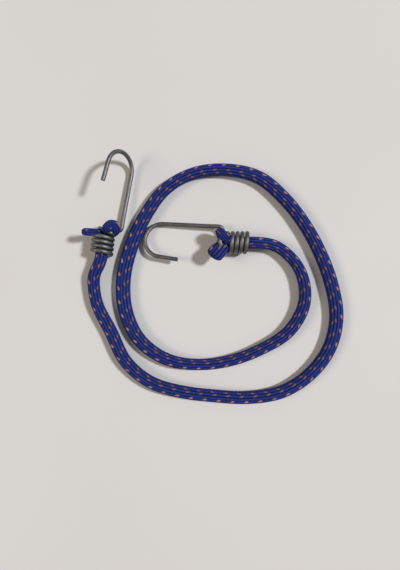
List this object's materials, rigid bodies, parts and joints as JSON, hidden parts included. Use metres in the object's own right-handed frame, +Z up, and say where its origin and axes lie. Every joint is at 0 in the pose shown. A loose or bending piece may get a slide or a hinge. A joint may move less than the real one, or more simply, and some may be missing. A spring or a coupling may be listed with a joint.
{
  "type": "bungee cord",
  "caption": "Elastic cord with a woven cover over rubber strands and a bent wire hook wound onto each end, lying in a loose spiral, for tying down loads.",
  "frame": {"origin": "on the surface that the cord lies on, under the middle of the box around the two hooks", "axes": "+Z up from the surface, +X along the second hook from its bend to its collar, +Y square to both"},
  "size_m": [0.1663, 0.1617, 0.0245],
  "materials": {
    "cover": "woven polypropylene, ribbed",
    "rubber": "natural rubber, matt",
    "wire": "galvanised wire"
  },
  "bodies": {
    "cord": {"cover_run": "cover", "strand_1_run": "rubber", "strand_2_run": "rubber", "strand_3_run": "rubber", "strand_4_run": "rubber", "strand_5_run": "rubber", "strand_6_run": "rubber", "strand_7_run": "rubber"},
    "stretch_1": {"cover_stretch_1": "cover", "strand_1_stretch_1": "rubber", "strand_2_stretch_1": "rubber", "strand_3_stretch_1": "rubber", "strand_4_stretch_1": "rubber", "strand_5_stretch_1": "rubber", "strand_6_stretch_1": "rubber", "strand_7_stretch_1": "rubber"},
    "lead_1": {"cover_lead_1": "cover", "strand_1_lead_1": "rubber", "strand_2_lead_1": "rubber", "strand_3_lead_1": "rubber", "strand_4_lead_1": "rubber", "strand_5_lead_1": "rubber", "strand_6_lead_1": "rubber", "strand_7_lead_1": "rubber"},
    "hook_1": {"hook_1_wire": "wire", "hook_1_cord_end": "cover"},
    "lead_2": {"cover_lead_2": "cover", "strand_1_lead_2": "rubber", "strand_2_lead_2": "rubber", "strand_3_lead_2": "rubber", "strand_4_lead_2": "rubber", "strand_5_lead_2": "rubber", "strand_6_lead_2": "rubber", "strand_7_lead_2": "rubber"},
    "hook_2": {"hook_2_wire": "wire", "hook_2_cord_end": "cover"}
  },
  "joints": [
    {"name": "cord_stretch", "type": "slide", "parent": "cord", "child": "stretch_1", "axis": [-0.1732, 0.9849, 0], "range_m": [0, 0.06], "stiffness_N_per_m": 1500, "deforming": ["cover_stretch_1", "strand_1_stretch_1", "strand_2_stretch_1", "strand_3_stretch_1", "strand_4_stretch_1", "strand_5_stretch_1", "strand_6_stretch_1", "strand_7_stretch_1"]},
    {"name": "hook_1_lift", "type": "hinge", "parent": "stretch_1", "child": "lead_1", "pos_m": [-0.04711, -0.04309, 0.00558], "axis": [0.98, -0.199, 0], "range_deg": [0, 50], "deforming": ["cover_lead_1", "strand_1_lead_1", "strand_2_lead_1", "strand_3_lead_1", "strand_4_lead_1", "strand_5_lead_1", "strand_6_lead_1", "strand_7_lead_1"]},
    {"name": "hook_1_swivel", "type": "hinge", "parent": "lead_1", "child": "hook_1", "pos_m": [-0.042, -0.0298, 0.0074], "axis": [-0.1045, -0.9945, 0], "range_deg": [-8, 90], "stiffness_Nm_per_rad": 0.02},
    {"name": "hook_2_lift", "type": "hinge", "parent": "cord", "child": "lead_2", "pos_m": [0.06617, -0.02375, 0.00558], "axis": [0.2656, 0.9641, 0], "range_deg": [0, 50], "deforming": ["cover_lead_2", "strand_1_lead_2", "strand_2_lead_2", "strand_3_lead_2", "strand_4_lead_2", "strand_5_lead_2", "strand_6_lead_2", "strand_7_lead_2"]},
    {"name": "hook_2_swivel", "type": "hinge", "parent": "lead_2", "child": "hook_2", "pos_m": [0.0516, -0.0231, 0.0074], "axis": [1, 0, 0], "range_deg": [-8, 90], "stiffness_Nm_per_rad": 0.02}
  ]
}
